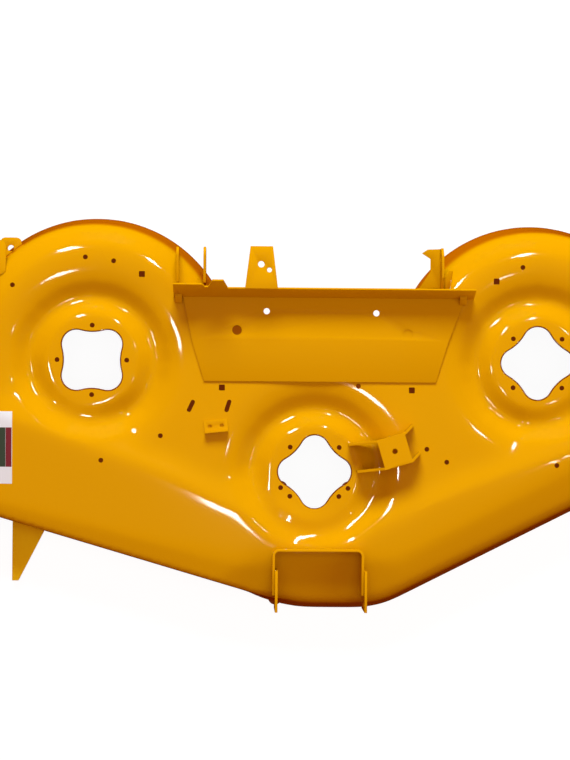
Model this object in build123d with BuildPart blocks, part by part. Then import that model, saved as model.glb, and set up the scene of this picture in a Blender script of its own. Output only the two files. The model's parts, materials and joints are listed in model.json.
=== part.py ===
from build123d import *
import math
import os

# Three-spindle mower deck shell, a deep-drawn and welded sheet steel part.
# X runs along the deck, Y to the rear, Z up. The origin is the centre of the
# middle spindle seat, on its top face. All sizes are millimetres.

# Sheet and plate
sheet = 3.0
bracket_sheet = 4.8

# Spindle stations
spindle_pitch_x = 415.0
spindle_pitch_y = 205.0
bolt_circle_r = 64.5
bolt_hole_r = 4.5

# Skirt and lobe outline, measured on the bottom rim
lobe_r = 262.0
left_lobe_shift = (4.0, 10.0)
right_lobe_shift = (-2.0, 2.0)
rim_z = -100.0
draft = 12.5
cusp_r = 62.0
discharge_x = -655.0

# Front outline, measured on the bottom rim
nose_y = -262.0
nose_corner_r = 180.0
nose_join_r = 150.0
left_front_point = (-217.0, -204.0)
left_front_slope = -0.293
right_front_point = (164.3, -242.3)
right_front_slope = 0.503
right_corner_r = 262.0
front_join_x = -65.5
join_zone = 87.0

# Steeper skirt along the left front line, and its start beside the discharge end
left_front_draft = 5.0
left_front_start = 14.0

# Roll-over bands along the front lines, each at its level over the rim's line
left_roll_angle = 15.0
left_roll_z = -6.3
right_roll_angle = 19.0
right_roll_z = -16.2

# Levels of the top skin
land_z = 7.0
crest_z = 16.5
shoulder_drop = 21.0
shoulder_run = 43.0
band_angle = 16.0
shelf_angle = 5.0
facet_angle = 19.0
facet_y = -152.0

# Crest lines in plan, each given by one point and its slope
outer_left_crest = (-278.0, -3.5)
outer_left_slope = -0.348
inner_left_crest = (-278.0, -3.5)
inner_left_slope = -0.498
outer_right_crest = (277.0, -31.4)
outer_right_slope = 0.38
inner_right_crest = (194.0, -70.5)
inner_right_slope = 0.467
nose_crest_y = -137.0
left_shelf_slope = -0.39
right_shelf_slope = 0.40
shelf_point_left = (-350.0, 15.0)
shelf_point_right = (300.0, -20.0)
facet_z = 14.4
shoulder_inset = 59.0
block_floor = -16.0
blank_top_z = 50.0
blank_size = 1660.0
above_z = 60.0
punch_depth = 200.0

# Dished spindle seats
seat_r = 88.0
valley_r = 117.0
valley_z = -6.5
dish_r = 176.0
dish_blend = 14.0

# Clover cut-out in each seat
clover_waist_r = 53.5
clover_lobe_r = 28.5
clover_lobe_at = 41.0

# Holes in the ring round each seat: spindle, angle and radius
ring_hole_r = 4.5
ring_holes = {
    "left": [(94.0, 191.0), (78.0, 188.0), (137.0, 202.0)],
    "middle": [(-154.7, 69.6), (-26.0, 69.6), (11.8, 213.0), (4.6, 246.5)],
    "right": [(99.4, 181.0), (-79.5, 193.0)],
}
left_land_holes = [(-286.8, 65.3), (-396.0, 19.3)]

# Square carriage bolt holes and slots in the land
square_hole = 11.0
square_hole_round = 1.5
square_holes = [(-323.4, 364.8), (-173.4, 155.5), (179.7, 152.9), (336.7, 357.0)]
slot_length = 24.0
slot_width = 8.0
slots = [(-230.5, 121.0, 65.0), (-162.0, 121.5, 72.0)]

# Discharge mouth in the left end
mouth_front_y = -40.0
mouth_rear_y = 296.0
mouth_top_z = -24.0
mouth_cut_depth = 36.0

# Rear plate and its leaning flange
rear_plate_front_y = 167.6
rear_plate_rear_y = 322.0
rear_plate_left = -207.0
rear_plate_right = 224.0
rear_plate_waist_y = 243.0
rear_plate_waist_out = 23.0
rear_plate_left_out = 40.0
rear_plate_right_out = 54.0
rear_flange_left = -264.0
rear_flange_right = 294.0
rear_flange_height = 45.0
rear_flange_lean = 20.0
rear_flange_end_height = 62.0
rear_flange_end_width = 58.0
rear_flange_end_corner = 6.0
rear_flange_neck_height = 50.0
hump_left = -200.0
hump_right = -172.0
hump_height = 80.0
hump_flare = 8.0
plate_hole_r = 5.8
plate_holes = [(-91.3, 297.8), (112.5, 295.6)]
dimple_r = 9.0
dimple_depth = 1.5
dimples = [(-146.2, 262.4), (171.3, 257.0)]

# Flat tab on the rear flange
tab_foot_width = 60.6
tab_tip_width = 41.3
tab_length = 78.0
tab_x = -102.0
tab_holes = [((-102.7, 382.2), 6.0), ((-87.6, 371.8), 4.5)]

# Rear lift ears, upright plates standing off the skirt of the left lobe
ear_pin_r = 6.5
ear_pin_z = 16.0
ear_top_z = 32.0
ear_top_fall = 8.0
ear_foot_z = -70.0
ear_end_r = 15.0
ear_end_height = 56.0
left_ear_outer_x = -257.0
left_ear_inner_x = -207.0

# Distances of the ears in from the rearmost line of the lobes
ear_tip_in = 51.0
ear_pin_in = 69.0
ear_root_in = 117.0

# Hooked lift bracket at the rear right
hook_web_x = 230.0
hook_web_height = 36.0
hook_web_corner = 13.0
hook_shoulder_y = 361.0
hook_seat_height = 14.4
hook_flange_lean = 32.0
hook_flange_gap = 2.4
hook_flare = 44.0
hook_neck = 20.0
hook_neck_front_y = 374.0
hook_neck_rear_y = 398.0
hook_barb = 38.0
hook_barb_y = 409.0
hook_end = 26.0
right_ear_turn = -30.0
right_ear_at = (250.0, 359.0)
right_ear_length = 34.0
right_ear_top_z = 22.0
right_ear_foot_z = -35.0
right_ear_corner = 12.0

# Gussets in the corners between flange and lobes
gusset_width = 13.0
gusset_depth = 12.0
gusset_height = 14.0
gusset_left_x = -255.0
gusset_right_x = 273.0

# Idler bridge beside the middle seat
bridge_turn = 16.8
bridge_at = (146.4, 40.2)
bridge_pad_length = 53.0
bridge_width = 57.0
bridge_height = 36.0
bridge_tail = 51.0
bridge_tail_turn = 10.0
bridge_tail_height = 20.0
bridge_wing = 22.5
bridge_wing_turn = 28.0
bridge_wing_height = 22.0
bridge_bend_r = 9.0
bridge_hole_r = 5.0

# Belt clip left of the middle seat
clip_at = (-184.0, 84.0)
clip_turn = 6.0
clip_length = 44.0
clip_depth = 24.0
clip_lip = 13.0
clip_hole_r = 3.6

# Channel and ears on the nose
channel_left_x = -78.0
channel_right_x = 91.0
channel_web_y = -141.0
channel_tip_y = -226.0
channel_top_z = 46.0
channel_rise = 8.0
channel_corner_r = 13.0
nose_ear_rear_y = -180.0
nose_ear_tip_y = -256.0
nose_ear_height = 62.0
nose_ear_foot_z = -34.0
nose_ear_pin_r = 6.5
nose_ear_round = 14.0
nose_ear_pin_in = 15.6
nose_ear_pin_down = 19.5

# Discharge side plates, placed round the left lobe from its rim
hinge_plate_length = 54.0
hinge_plate_depth = 65.0
hinge_plate_angle = 137.0
hinge_plate_out = 0.8
hinge_plate_z = -3.0
hinge_plate_round = 12.0
hinge_tab_angle = 128.8
hinge_tab_out = -6.7
hinge_tab_z = -46.0
hinge_tab_width = 40.0
hinge_tab_hole_r = 6.0
guard_z = -88.0
guard_left_x = -567.5
guard_right_x = -508.0
guard_tip_y = -212.0
guard_tip_width = 12.0
front_plate_z = -60.0
front_plate_length = 60.0
front_plate_depth = 50.0
front_plate_y = -90.0

# Baffles under the shell
baffle_gap = 30.0
baffle_foot_z = -92.0
baffle_angles = {"left": (232.0, 312.0), "middle": (238.0, 302.0), "right": (222.0, 330.0)}

spindles = {
    "left": (-spindle_pitch_x, spindle_pitch_y),
    "middle": (0.0, 0.0),
    "right": (spindle_pitch_x, spindle_pitch_y),
}

# Centres of the lobes' skirts, a little off the outer spindles
lobes = {
    "left": (-spindle_pitch_x + left_lobe_shift[0], spindle_pitch_y + left_lobe_shift[1]),
    "middle": (0.0, 0.0),
    "right": (spindle_pitch_x + right_lobe_shift[0], spindle_pitch_y + right_lobe_shift[1]),
}

os.makedirs("parts", exist_ok=True)


def finish_piece(piece, name):
    """Label a finished piece and write it as its own file."""
    piece.label = name
    export_step(piece, f"parts/{name}.step")


def cusp_centre(name):
    """Centre of the fillet circle that touches the middle lobe and another lobe."""
    x, y = lobes[name]
    gap = math.hypot(x, y)
    reach = math.sqrt((lobe_r + cusp_r) ** 2 - (gap / 2) ** 2)
    return (x / 2 - math.copysign(reach * y / gap, x), y / 2 + reach * abs(x) / gap)


# Rearmost line of the lobes, and the places of the ears in from it
rear_line_y = spindle_pitch_y + lobe_r
ear_tip_y = rear_line_y - ear_tip_in
ear_pin_y = rear_line_y - ear_pin_in
ear_root_y = rear_line_y - ear_root_in


def beside_left_lobe(angle, out):
    """Plan point at an angle round the left lobe, a distance out from its rim."""
    turn = math.radians(angle)
    reach = lobe_r + out
    centre = lobes["left"]
    return (centre[0] + reach * math.cos(turn), centre[1] + reach * math.sin(turn))


def front_line(passes, slope, inset):
    """Straight front edge in plan, moved inward by inset, as a function of x."""
    shift = inset * math.hypot(1.0, slope)
    return lambda x: passes[1] + slope * (x - passes[0]) + shift


def rim_outline(inset):
    """Plan outline of the bottom rim, moved inward by inset."""
    radius = lobe_r - inset
    end_x = discharge_x + inset
    side_x = lobes["right"][0] + radius
    nose = nose_y + inset
    left_line = front_line(left_front_point, left_front_slope, inset)
    right_line = front_line(right_front_point, right_front_slope, inset)
    nose_corner_x = right_front_point[0] + (nose - right_line(right_front_point[0])) / right_front_slope
    with BuildSketch() as outline:
        with BuildLine():
            Polyline(
                (end_x, left_line(end_x)),
                (front_join_x, left_line(front_join_x)),
                lobes["middle"],
                lobes["left"],
                (end_x, lobes["left"][1]),
                close=True,
            )
        make_face()
        with BuildLine():
            Polyline(
                (0, nose),
                (nose_corner_x, nose),
                (side_x, right_line(side_x)),
                (side_x, lobes["right"][1]),
                lobes["right"],
                lobes["middle"],
                close=True,
            )
        make_face()
        convex_corners = [
            ((nose_corner_x, nose), nose_corner_r),
            ((side_x, right_line(side_x)), right_corner_r),
        ]
        for corner, corner_r in convex_corners:
            fillet(outline.vertices().sort_by_distance(corner)[0], corner_r - inset)
        with Locations(*lobes.values()):
            Circle(radius)
        join = outline.vertices().filter_by(
            lambda v: -lobe_r < v.X < -join_zone and v.Y < -join_zone
        )
        fillet(join, nose_join_r + inset)
        for name in ("left", "right"):
            with BuildLine():
                Polyline(lobes["middle"], cusp_centre(name), lobes[name], close=True)
            make_face()
            with Locations(cusp_centre(name)):
                Circle(cusp_r + inset, mode=Mode.SUBTRACT)
        with Locations((end_x - blank_size / 2, 0)):
            Rectangle(blank_size, blank_size, mode=Mode.SUBTRACT)
    return outline.sketch


def left_front_outline(inset):
    """Plan outline of the stretch behind the left front line, moved inward by inset."""
    line = front_line(left_front_point, left_front_slope, inset)
    start_x = discharge_x + left_front_start + inset
    with BuildSketch() as outline:
        with BuildLine():
            Polyline(
                (start_x, line(start_x)),
                (front_join_x, line(front_join_x)),
                (front_join_x, 0),
                (start_x, 0),
                close=True,
            )
        make_face()
    return outline.sketch


def sloped_plane(point, slope, angle, level):
    """Plane through a plan line at a level, rising to the front by an angle."""
    run = math.hypot(1.0, slope)
    front = Vector(slope / run, -1.0 / run, 0)
    tilt = math.radians(angle)
    normal = Vector(0, 0, math.cos(tilt)) - front * math.sin(tilt)
    return Plane(origin=(point[0], point[1], level), z_dir=normal)


def land_block(drop, blend):
    """Flat land with its sloping shoulder and the three dished seats."""
    top = land_z - drop
    foot = block_floor - drop
    foot_inset = shoulder_inset - (land_z - block_floor) * shoulder_run / shoulder_drop
    with BuildPart() as land:
        with BuildSketch(Plane.XY.offset(foot)):
            add(rim_outline(foot_inset))
        with BuildSketch(Plane.XY.offset(top)):
            add(rim_outline(shoulder_inset))
        loft(ruled=True)
        for x, y in spindles.values():
            axis_plane = Plane(origin=(x, y, -drop), x_dir=(1, 0, 0), z_dir=(0, -1, 0))
            with BuildSketch(axis_plane):
                with BuildLine():
                    dish_profile(blend)
                make_face()
            revolve(axis=Axis((x, y, 0), (0, 0, 1)), mode=Mode.SUBTRACT)
    return land.part


def dish_profile(blend):
    """Half section of the space above a dished seat, its bends rounded where blend is set."""
    seat_edge = (seat_r, 0)
    valley = (valley_r, valley_z)
    dish_edge = (dish_r, land_z)
    outside = (dish_r + dish_blend, land_z)
    points = ((0, 0), seat_edge, valley, dish_edge, outside)
    if blend:
        FilletPolyline(*points, radius=dish_blend)
    else:
        Polyline(*points)
    Polyline(outside, (dish_r + dish_blend, above_z), (0, above_z), (0, 0))


def recess_volume(drop):
    """Space behind the front ridge, bounded by its rear-facing bands."""
    level = crest_z - drop
    outer_bands = [
        sloped_plane(outer_left_crest, outer_left_slope, band_angle, level),
        sloped_plane(outer_right_crest, outer_right_slope, band_angle, level),
    ]
    inner_bands = [
        sloped_plane(inner_left_crest, inner_left_slope, band_angle, level),
        sloped_plane((0, nose_crest_y), 0.0, band_angle, level),
        sloped_plane(inner_right_crest, inner_right_slope, band_angle, level),
    ]
    spaces = []
    for bands in (outer_bands, inner_bands):
        with BuildPart() as space:
            with BuildSketch(Plane.XY.offset(block_floor - drop)):
                Rectangle(blank_size, blank_size)
            extrude(amount=above_z - block_floor)
            for band in bands:
                split(bisect_by=band, keep=Keep.TOP)
        spaces.append(space.part)
    with BuildPart() as recess:
        add(spaces[0])
        add(spaces[1])
    return recess.part


def deck_form(inset, drop, blend):
    """Solid form of the deck: skirt, front shelf, ridge, land and dishes."""
    level = crest_z - drop
    with BuildPart() as cutter:
        add(recess_volume(drop))
        add(land_block(drop, blend), mode=Mode.SUBTRACT)
    with BuildPart() as form:
        with BuildSketch(Plane.XY.offset(rim_z)):
            add(rim_outline(inset))
        extrude(amount=blank_top_z - rim_z, taper=draft)
        with BuildSketch(Plane.XY.offset(rim_z)):
            add(left_front_outline(inset))
        extrude(amount=blank_top_z - rim_z, taper=left_front_draft)
        split(
            bisect_by=sloped_plane(shelf_point_left, left_shelf_slope, -shelf_angle, level),
            keep=Keep.BOTTOM,
        )
        split(
            bisect_by=sloped_plane(shelf_point_right, right_shelf_slope, -shelf_angle, level),
            keep=Keep.BOTTOM,
        )
        split(
            bisect_by=sloped_plane((0, facet_y), 0.0, -facet_angle, facet_z - drop),
            keep=Keep.BOTTOM,
        )
        split(
            bisect_by=sloped_plane(
                left_front_point, left_front_slope, -left_roll_angle, left_roll_z - drop
            ),
            keep=Keep.BOTTOM,
        )
        split(
            bisect_by=sloped_plane(
                right_front_point, right_front_slope, -right_roll_angle, right_roll_z - drop
            ),
            keep=Keep.BOTTOM,
        )
        add(cutter.part, mode=Mode.SUBTRACT)
    return form.part


def clover_outline():
    """Four-lobed cut-out whose hollow waists run smoothly into the lobes."""
    lobe_x = clover_lobe_at * math.sin(math.radians(45))
    rise = clover_waist_r - lobe_x
    waist_round = (lobe_x**2 + rise**2 - clover_lobe_r**2) / (2 * (clover_lobe_r - rise))
    waist_at = clover_waist_r + waist_round
    star = []
    for quarter in range(4):
        waist_turn = math.radians(90 * quarter)
        lobe_turn = waist_turn + math.radians(45)
        star.append((waist_at * math.cos(waist_turn), waist_at * math.sin(waist_turn)))
        star.append((clover_lobe_at * math.cos(lobe_turn), clover_lobe_at * math.sin(lobe_turn)))
    with BuildSketch() as clover:
        with BuildLine():
            Polyline(*star, close=True)
        make_face()
        with PolarLocations(clover_lobe_at, 4, start_angle=45):
            Circle(clover_lobe_r)
        with PolarLocations(waist_at, 4):
            Circle(waist_round, mode=Mode.SUBTRACT)
    return clover.sketch


# The turn of each seat's cut-out and bolts about its spindle axis
seat_turn = {"left": 0.0, "middle": 45.0, "right": 45.0}

left_front_line_y = front_line(left_front_point, left_front_slope, 0.0)
outer_form = deck_form(0.0, 0.0, True)
wall_inset = sheet / math.cos(math.radians(draft))
inner_form = deck_form(wall_inset, sheet, False)

# Deep-drawn shell with its seats, holes and discharge mouth
with BuildPart() as deck_shell:
    add(outer_form)
    add(inner_form, mode=Mode.SUBTRACT)
    for name, (x, y) in spindles.items():
        with BuildSketch(Plane(origin=(x, y, above_z), x_dir=(1, 0, 0), z_dir=(0, 0, 1))):
            with Locations(Rotation(0, 0, seat_turn[name])):
                add(clover_outline())
                with PolarLocations(bolt_circle_r, 4):
                    Circle(bolt_hole_r)
            for angle, radius in ring_holes[name]:
                with PolarLocations(radius, 1, start_angle=angle):
                    Circle(ring_hole_r)
        extrude(amount=-punch_depth, mode=Mode.SUBTRACT)
    with BuildSketch(Plane.XY.offset(above_z)):
        with Locations(*left_land_holes):
            Circle(ring_hole_r)
        with Locations(*square_holes):
            RectangleRounded(square_hole, square_hole, square_hole_round)
        for x, y, angle in slots:
            with Locations((x, y)):
                SlotOverall(slot_length, slot_width, rotation=angle)
    extrude(amount=-punch_depth, mode=Mode.SUBTRACT)
    with BuildSketch(Plane.YZ.offset(discharge_x - sheet)):
        with Locations(((mouth_front_y + mouth_rear_y) / 2, (rim_z + mouth_top_z) / 2)):
            Rectangle(mouth_rear_y - mouth_front_y, mouth_top_z - rim_z)
    extrude(amount=mouth_cut_depth, mode=Mode.SUBTRACT)
finish_piece(deck_shell.part, "deck_shell")

plate_top_z = land_z + sheet
flange_back = math.sin(math.radians(rear_flange_lean))
flange_up = math.cos(math.radians(rear_flange_lean))
flange_foot = sheet * flange_back / flange_up
flange_top_z = land_z + rear_flange_height * flange_up
flange_top_y = rear_plate_rear_y + rear_flange_height * flange_back


def flange_front_y(z):
    """Rear plate flange's front face at a height."""
    return rear_plate_rear_y + (z - land_z) * flange_back / flange_up


def flange_rear_y(z):
    """Rear plate flange's rear face at a height."""
    return flange_front_y(z) + sheet / flange_up


flange_plane = Plane(
    origin=(0, rear_plate_rear_y, land_z),
    x_dir=(1, 0, 0),
    z_dir=(0, -flange_up, flange_back),
)

# Rear plate bridging the gap behind the middle lobe
with BuildPart() as rear_plate:
    with BuildSketch(Plane.XY.offset(land_z)):
        with BuildLine():
            Polyline(
                (rear_plate_left, rear_plate_front_y),
                (rear_plate_right, rear_plate_front_y),
                (rear_plate_right + rear_plate_waist_out, rear_plate_waist_y),
                (rear_plate_right + rear_plate_right_out, rear_plate_rear_y + sheet),
                (rear_plate_left - rear_plate_left_out, rear_plate_rear_y + sheet),
                (rear_plate_left - rear_plate_waist_out, rear_plate_waist_y),
                close=True,
            )
        make_face()
        with Locations(*plate_holes):
            Circle(plate_hole_r, mode=Mode.SUBTRACT)
    extrude(amount=sheet)
    with BuildSketch(flange_plane):
        with BuildLine():
            Polyline(
                (rear_flange_left, flange_foot),
                (rear_flange_right, flange_foot),
                (rear_flange_right, rear_flange_height),
                (hump_right + hump_flare, rear_flange_height),
                (hump_right, hump_height),
                (hump_left + hump_flare, hump_height),
                (hump_left, rear_flange_neck_height),
                (rear_flange_left + rear_flange_end_width, rear_flange_neck_height),
                (
                    rear_flange_left + rear_flange_end_width - rear_flange_end_corner,
                    rear_flange_end_height,
                ),
                (rear_flange_left, rear_flange_end_height),
                close=True,
            )
        make_face()
    extrude(amount=-sheet)
    with BuildSketch(Plane.XY.offset(plate_top_z)):
        with Locations(*dimples):
            Circle(dimple_r)
    extrude(amount=-dimple_depth, mode=Mode.SUBTRACT)
finish_piece(rear_plate.part, "rear_plate")

# Flat tab welded on the flange's top edge
with BuildPart() as rear_tab:
    tab_front_y = flange_top_y
    with BuildSketch(Plane.XY.offset(flange_top_z)):
        with BuildLine():
            Polyline(
                (tab_x - tab_foot_width / 2, tab_front_y),
                (tab_x + tab_foot_width / 2, tab_front_y),
                (tab_x + tab_tip_width / 2, tab_front_y + tab_length),
                (tab_x - tab_tip_width / 2, tab_front_y + tab_length),
                close=True,
            )
        make_face()
        for at, radius in tab_holes:
            with Locations(at):
                Circle(radius, mode=Mode.SUBTRACT)
    extrude(amount=bracket_sheet)
finish_piece(rear_tab.part, "rear_tab")


def lift_ear(x):
    """Upright ear whose foot follows the shell behind the left lobe."""
    with BuildPart() as ear:
        with BuildSketch(Plane.YZ.offset(x - bracket_sheet / 2)):
            with BuildLine():
                Polyline(
                    (ear_root_y, ear_foot_z),
                    (ear_tip_y, ear_top_z - ear_end_height),
                    (ear_tip_y, ear_top_z),
                    (ear_root_y, ear_top_z - ear_top_fall),
                    close=True,
                )
            outline = make_face()
            fillet(outline.vertices().group_by(Axis.X)[-1], ear_end_r)
            with Locations((ear_pin_y, ear_pin_z)):
                Circle(ear_pin_r, mode=Mode.SUBTRACT)
        extrude(amount=bracket_sheet)
        add(outer_form, mode=Mode.SUBTRACT)
    return ear.part


finish_piece(lift_ear(left_ear_outer_x), "left_lift_ear_outer")
finish_piece(lift_ear(left_ear_inner_x), "left_lift_ear_inner")

# Hooked lift bracket: an upright web with a leaning hooked flange
hook_lean_out = math.cos(math.radians(hook_flange_lean))
hook_lean_down = math.sin(math.radians(hook_flange_lean))
hook_seat_z = plate_top_z + hook_seat_height
hook_front_y = flange_rear_y(flange_top_z) + hook_flange_gap
hook_plane = Plane(
    origin=(hook_web_x, 0, plate_top_z),
    x_dir=(-hook_lean_out, 0, -hook_lean_down),
    z_dir=(hook_lean_down, 0, -hook_lean_out),
)
with BuildPart() as right_lift_bracket:
    with BuildSketch(Plane.YZ.offset(hook_web_x)):
        with BuildLine():
            Polyline(
                (flange_rear_y(plate_top_z), plate_top_z),
                (ear_tip_y, plate_top_z),
                (ear_tip_y, plate_top_z + hook_web_height - hook_web_corner),
                (ear_tip_y - hook_web_corner, plate_top_z + hook_web_height),
                (hook_shoulder_y, plate_top_z + hook_web_height),
                (flange_rear_y(hook_seat_z), hook_seat_z),
                close=True,
            )
        make_face()
        with Locations((ear_pin_y, plate_top_z + hook_web_height / 2)):
            Circle(ear_pin_r, mode=Mode.SUBTRACT)
    extrude(amount=bracket_sheet)
    with BuildSketch(hook_plane):
        with BuildLine():
            Polyline(
                (-bracket_sheet / 2, hook_front_y),
                (hook_flare, hook_front_y),
                (hook_neck, hook_neck_front_y),
                (hook_neck, hook_neck_rear_y),
                (hook_barb, hook_barb_y),
                (hook_end, ear_tip_y),
                (-bracket_sheet / 2, ear_tip_y),
                close=True,
            )
        make_face()
    extrude(amount=bracket_sheet)
finish_piece(right_lift_bracket.part, "right_lift_bracket")

# Small upright ear on the shoulder of the right lobe
right_ear_plane = Plane(origin=(*right_ear_at, 0), x_dir=(0, 1, 0), z_dir=(1, 0, 0))
right_ear_plane = right_ear_plane.rotated((0, right_ear_turn, 0))
with BuildPart() as right_lift_ear:
    with BuildSketch(right_ear_plane):
        with BuildLine():
            Polyline(
                (-right_ear_length / 2, right_ear_foot_z),
                (right_ear_length / 2, right_ear_foot_z),
                (right_ear_length / 2, right_ear_top_z - right_ear_corner),
                (right_ear_length / 2 - right_ear_corner, right_ear_top_z),
                (-right_ear_length / 2, right_ear_top_z),
                close=True,
            )
        make_face()
    extrude(amount=bracket_sheet / 2, both=True)
    add(outer_form, mode=Mode.SUBTRACT)
finish_piece(right_lift_ear.part, "right_lift_ear")

# Corner gussets against the flange's front face
gusset_top_z = plate_top_z + gusset_height
for side, gusset_x in (("left", gusset_left_x), ("right", gusset_right_x)):
    with BuildPart() as gusset:
        with BuildSketch(Plane.YZ.offset(gusset_x - gusset_width / 2)):
            with BuildLine():
                Polyline(
                    (flange_front_y(plate_top_z), plate_top_z),
                    (flange_front_y(gusset_top_z), gusset_top_z),
                    (flange_front_y(gusset_top_z) - gusset_depth / 2, gusset_top_z),
                    (flange_front_y(plate_top_z) - gusset_depth, plate_top_z),
                    close=True,
                )
            make_face()
        extrude(amount=gusset_width)
    finish_piece(gusset.part, f"{side}_corner_gusset")

# Idler bridge: a raised pad with two walls that run on past it and bend
bridge_plane = Plane(origin=(*bridge_at, 0)).rotated((0, 0, bridge_turn))
bridge_top_z = land_z + bridge_height
half_pad = bridge_pad_length / 2
half_width = bridge_width / 2
tail_along = half_pad + bridge_tail * math.cos(math.radians(bridge_tail_turn))
tail_across = bridge_tail * math.sin(math.radians(bridge_tail_turn))
wing_along = half_pad + bridge_wing * math.cos(math.radians(bridge_wing_turn))
wing_across = bridge_wing * math.sin(math.radians(bridge_wing_turn))
with BuildPart() as idler_bridge:
    with BuildSketch(bridge_plane.offset(bridge_top_z - bracket_sheet)):
        Rectangle(bridge_pad_length, bridge_width)
        Circle(bridge_hole_r, mode=Mode.SUBTRACT)
    extrude(amount=bracket_sheet)
    for wall_y, inward in ((half_width, Side.RIGHT), (-half_width, Side.LEFT)):
        with BuildSketch(bridge_plane.offset(block_floor)):
            with BuildLine():
                FilletPolyline(
                    (-tail_along, wall_y + tail_across),
                    (-half_pad, wall_y),
                    (half_pad, wall_y),
                    (wing_along, wall_y + wing_across),
                    radius=bridge_bend_r,
                )
                offset(amount=bracket_sheet, side=inward)
            make_face()
        extrude(amount=bridge_top_z - block_floor)
    side_plane = Plane(bridge_plane.origin, x_dir=bridge_plane.x_dir, z_dir=-bridge_plane.y_dir)
    with BuildSketch(side_plane):
        for start, end, end_height in (
            (-half_pad, -tail_along, bridge_tail_height),
            (half_pad, wing_along, bridge_wing_height),
        ):
            with BuildLine():
                Polyline(
                    (start, bridge_top_z),
                    (end, land_z + end_height),
                    (2 * end, land_z + end_height),
                    (2 * end, above_z),
                    (start, above_z),
                    close=True,
                )
            make_face()
    extrude(amount=2 * bridge_width, both=True, mode=Mode.SUBTRACT)
    add(outer_form, mode=Mode.SUBTRACT)
finish_piece(idler_bridge.part, "idler_bridge")

# Belt clip: a small plate with an upturned lip
clip_plane = Plane(origin=(*clip_at, land_z)).rotated((0, 0, clip_turn))
with BuildPart() as belt_clip:
    with BuildSketch(clip_plane):
        Rectangle(clip_length, clip_depth)
        with Locations((-clip_length / 4, 0), (clip_length / 4, 0)):
            Circle(clip_hole_r, mode=Mode.SUBTRACT)
    extrude(amount=sheet)
    with BuildSketch(clip_plane):
        with Locations((0, (sheet - clip_depth) / 2)):
            Rectangle(clip_length, sheet)
    extrude(amount=clip_lip)
    add(outer_form, mode=Mode.SUBTRACT)
finish_piece(belt_clip.part, "belt_clip")

# Channel on the nose, its foot following the shelf and the nose facet
with BuildPart() as nose_channel:
    with BuildSketch(Plane.XY.offset(2 * block_floor)):
        with BuildLine():
            FilletPolyline(
                (channel_left_x, channel_tip_y),
                (channel_left_x, channel_web_y),
                (channel_right_x, channel_web_y),
                (channel_right_x, channel_tip_y),
                radius=channel_corner_r,
            )
            offset(amount=bracket_sheet, side=Side.RIGHT)
        make_face()
    extrude(amount=channel_top_z - 2 * block_floor)
    channel_lip = Plane(
        origin=(0, channel_web_y, channel_top_z),
        x_dir=(1, 0, 0),
        z_dir=(0, math.sin(math.radians(channel_rise)), math.cos(math.radians(channel_rise))),
    )
    split(bisect_by=channel_lip, keep=Keep.BOTTOM)
    add(outer_form, mode=Mode.SUBTRACT)
finish_piece(nose_channel.part, "nose_channel")


def nose_ear(x):
    """Upright ear with a pin hole, running past the front edge."""
    with BuildPart() as ear:
        with BuildSketch(Plane.YZ.offset(x)):
            with BuildLine():
                Polyline(
                    (nose_ear_rear_y, nose_ear_foot_z),
                    (nose_ear_tip_y, nose_ear_foot_z),
                    (nose_ear_tip_y, nose_ear_height),
                    (nose_ear_rear_y, nose_ear_height),
                    close=True,
                )
            face = make_face()
            fillet(face.vertices().sort_by(Axis.Y)[:2], nose_ear_round)
            with Locations((nose_ear_tip_y + nose_ear_pin_in, nose_ear_height - nose_ear_pin_down)):
                Circle(nose_ear_pin_r, mode=Mode.SUBTRACT)
        extrude(amount=bracket_sheet)
        add(outer_form, mode=Mode.SUBTRACT)
    return ear.part


finish_piece(nose_ear(channel_left_x + bracket_sheet), "nose_ear_left")
finish_piece(nose_ear(channel_right_x), "nose_ear_right")

# Chute hinge plate above the shoulder and the drilled tab on the skirt below it
with BuildPart() as chute_hinge_plate:
    with BuildSketch(Plane.XY.offset(hinge_plate_z - bracket_sheet)):
        with Locations(beside_left_lobe(hinge_plate_angle, hinge_plate_out)):
            RectangleRounded(hinge_plate_length, hinge_plate_depth, hinge_plate_round)
    extrude(amount=bracket_sheet)
    add(outer_form, mode=Mode.SUBTRACT)
finish_piece(chute_hinge_plate.part, "chute_hinge_plate")

with BuildPart() as chute_hinge_tab:
    with BuildSketch(Plane.XY.offset(hinge_tab_z)):
        with Locations(beside_left_lobe(hinge_tab_angle, hinge_tab_out)):
            RectangleRounded(hinge_tab_width, hinge_tab_width, hinge_tab_width / 4)
            Circle(hinge_tab_hole_r, mode=Mode.SUBTRACT)
    extrude(amount=bracket_sheet)
    add(outer_form, mode=Mode.SUBTRACT)
finish_piece(chute_hinge_tab.part, "chute_hinge_tab")

# Flat guard plate at the front left, low against the skirt
with BuildPart() as guard_plate:
    with BuildSketch(Plane.XY.offset(guard_z)):
        with BuildLine():
            Polyline(
                (guard_left_x, 0),
                (guard_left_x, guard_tip_y),
                (guard_left_x + guard_tip_width, guard_tip_y),
                (guard_right_x, left_front_line_y(guard_right_x)),
                (guard_right_x, 0),
                close=True,
            )
        make_face()
    extrude(amount=bracket_sheet)
    add(outer_form, mode=Mode.SUBTRACT)
finish_piece(guard_plate.part, "guard_plate")

# Chute plate at the front end of the mouth
with BuildPart() as chute_front_plate:
    with BuildSketch(Plane.XY.offset(front_plate_z)):
        with Locations((discharge_x + front_plate_length / 2, front_plate_y)):
            RectangleRounded(front_plate_length, front_plate_depth, hinge_plate_round / 2)
    extrude(amount=bracket_sheet)
    add(outer_form, mode=Mode.SUBTRACT)
finish_piece(chute_front_plate.part, "chute_front_plate")

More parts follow.
